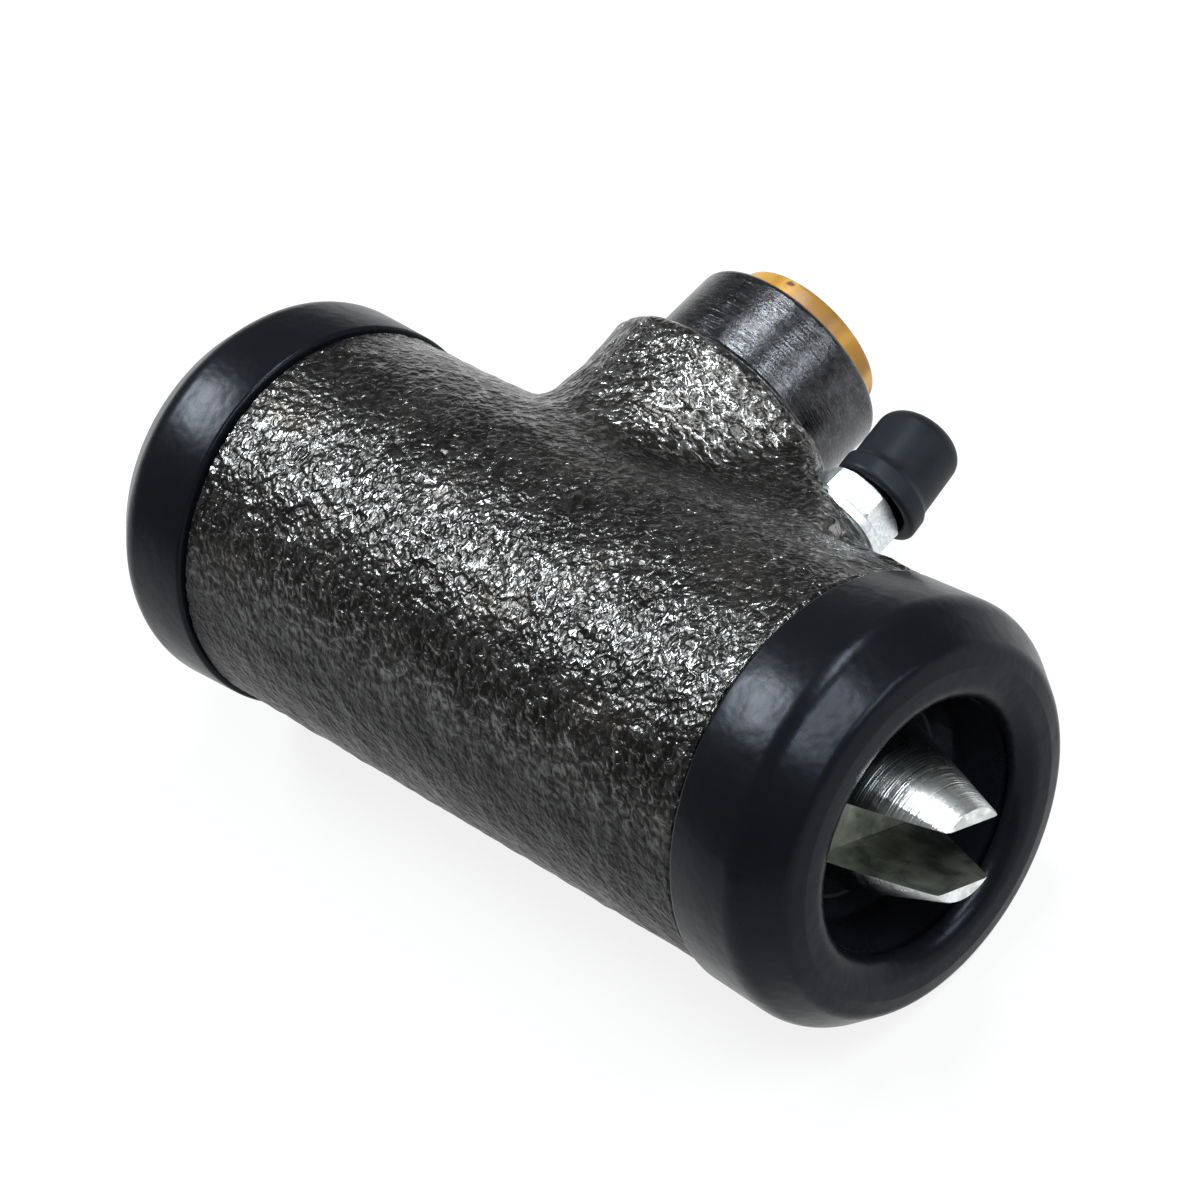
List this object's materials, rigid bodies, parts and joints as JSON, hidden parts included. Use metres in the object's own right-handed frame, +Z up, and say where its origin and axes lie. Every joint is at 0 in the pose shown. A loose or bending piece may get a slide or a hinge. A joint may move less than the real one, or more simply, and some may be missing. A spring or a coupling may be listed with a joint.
{
  "type": "drum brake wheel cylinder",
  "caption": "Drum brake wheel cylinder: cast body with a spigot, opposed slotted pistons under rubber dust boots, capped bleed screw and port plug.",
  "frame": {"origin": "centre of the machined shoulder round the spigot, on the spigot's axis", "axes": "+X along the bore towards the end nearer the bleed screw, +Y out along the spigot, away from the bore, +Z up"},
  "size_m": [0.0967, 0.0597, 0.0392],
  "materials": {
    "cast_iron": "satin",
    "zinc_plate": "satin",
    "boot_rubber": "satin",
    "cup_rubber": "matte",
    "cap_rubber": "matte",
    "spring_steel": "satin",
    "amber_plastic": "satin",
    "screw_zinc": "satin"
  },
  "bodies": {
    "casting": {"cylinder_body": "cast_iron", "right_boot": "boot_rubber", "left_boot": "boot_rubber", "return_spring": "spring_steel"},
    "right_cup_set": {"right_cup": "cup_rubber", "right_expander": "spring_steel"},
    "left_cup_set": {"left_cup": "cup_rubber", "left_expander": "spring_steel"},
    "right_piston_body": {"right_piston": "zinc_plate"},
    "left_piston_body": {"left_piston": "zinc_plate"},
    "bleed_screw_body": {"bleed_screw": "screw_zinc"},
    "bleeder_cap_body": {"bleeder_cap": "cap_rubber"},
    "port_plug_body": {"port_plug": "amber_plastic"}
  },
  "joints": [
    {"name": "right_slide", "type": "slide", "parent": "casting", "child": "right_cup_set", "axis": [1, 0, 0], "range_m": [-0.0015, 0.008], "deforming": ["right_boot", "return_spring"]},
    {"name": "left_slide", "type": "slide", "parent": "casting", "child": "left_cup_set", "axis": [-1, 0, 0], "range_m": [-0.0015, 0.008], "deforming": ["left_boot", "return_spring"]},
    {"name": "right_piston_turn", "type": "hinge", "parent": "right_cup_set", "child": "right_piston_body", "pos_m": [0.0437, -0.029, 0], "axis": [1, 0, 0], "continuous": true},
    {"name": "left_piston_turn", "type": "hinge", "parent": "left_cup_set", "child": "left_piston_body", "pos_m": [-0.0316, -0.029, 0], "axis": [-1, 0, 0], "continuous": true},
    {"name": "bleed_screw_turn", "type": "hinge", "parent": "casting", "child": "bleed_screw_body", "pos_m": [0.0192, -0.0074, 0], "axis": [0, 1, 0], "range_deg": [0, 360]},
    {"name": "bleeder_cap_pull", "type": "slide", "parent": "bleed_screw_body", "child": "bleeder_cap_body", "axis": [-0.1392, 0.9903, 0], "range_m": [0, 0.014]},
    {"name": "port_plug_pull", "type": "slide", "parent": "casting", "child": "port_plug_body", "axis": [0, 1, 0], "range_m": [0, 0.014]}
  ]
}
